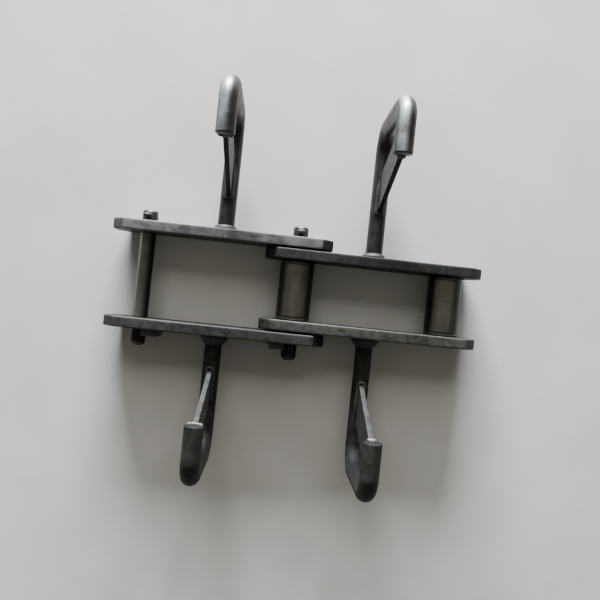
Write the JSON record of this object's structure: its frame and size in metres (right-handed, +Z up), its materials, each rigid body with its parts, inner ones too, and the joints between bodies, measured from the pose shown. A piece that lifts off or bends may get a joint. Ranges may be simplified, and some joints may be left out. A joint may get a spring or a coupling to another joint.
{
  "type": "conveyor chain",
  "caption": "Outer and inner link of a conveyor chain, with pins, bushes and rollers, and bent round-bar flights, each with a flat brace, welded to the side plates.",
  "frame": {"origin": "on the ground plane that the plates stand on, under the axis of the pin that joins the two links, midway across the chain", "axes": "+X along the chain from the outer link to the inner link, +Y across it towards the split pins, +Z up towards the tips of the flights"},
  "size_m": [0.39, 0.376, 0.1445],
  "materials": {
    "plate_steel": "sheared black steel plate, oiled, with worn bright edges",
    "pin_steel": "turned and blackened steel, oiled",
    "bush_steel": "turned steel, case hardened, oiled",
    "roller_steel": "turned steel, case hardened and blackened, oiled",
    "bar_steel": "hot-rolled round bar, bent, with thin scale",
    "brace_steel": "sheared flat bar with thin scale",
    "keeper_steel": "sheared flat bar, blackened",
    "split_pin_wire": "bright half-round steel wire",
    "weld_metal": "rippled weld bead, dull grey"
  },
  "bodies": {
    "outer_link": {"outer_plate_front": "plate_steel", "outer_flight_front": "bar_steel", "outer_brace_front": "brace_steel", "outer_root_weld_front": "weld_metal", "outer_brace_weld_front": "weld_metal", "outer_plate_back": "plate_steel", "outer_flight_back": "bar_steel", "outer_brace_back": "brace_steel", "outer_root_weld_back": "weld_metal", "outer_brace_weld_back": "weld_metal", "lead_pin": "pin_steel", "lead_keeper": "keeper_steel", "lead_keeper_weld": "weld_metal", "lead_split_pin": "split_pin_wire", "middle_pin": "pin_steel", "middle_keeper": "keeper_steel", "middle_keeper_weld": "weld_metal", "middle_split_pin": "split_pin_wire"},
    "inner_link": {"inner_plate_front": "plate_steel", "inner_flight_front": "bar_steel", "inner_brace_front": "brace_steel", "inner_root_weld_front": "weld_metal", "inner_brace_weld_front": "weld_metal", "inner_plate_back": "plate_steel", "inner_flight_back": "bar_steel", "inner_brace_back": "brace_steel", "inner_root_weld_back": "weld_metal", "inner_brace_weld_back": "weld_metal", "middle_bush": "bush_steel", "end_bush": "bush_steel"},
    "middle_roller": {"middle_roller": "roller_steel"},
    "end_roller": {"end_roller": "roller_steel"}
  },
  "joints": [
    {"name": "link_hinge", "type": "hinge", "parent": "outer_link", "child": "inner_link", "pos_m": [0, 0, 0.0225], "axis": [0, 1, 0], "range_deg": [-60, 150]},
    {"name": "middle_roller_spin", "type": "hinge", "parent": "inner_link", "child": "middle_roller", "pos_m": [0, 0, 0.0225], "axis": [0, 1, 0], "continuous": true},
    {"name": "end_roller_spin", "type": "hinge", "parent": "inner_link", "child": "end_roller", "pos_m": [0.16, 0, 0.0225], "axis": [0, 1, 0], "continuous": true}
  ]
}
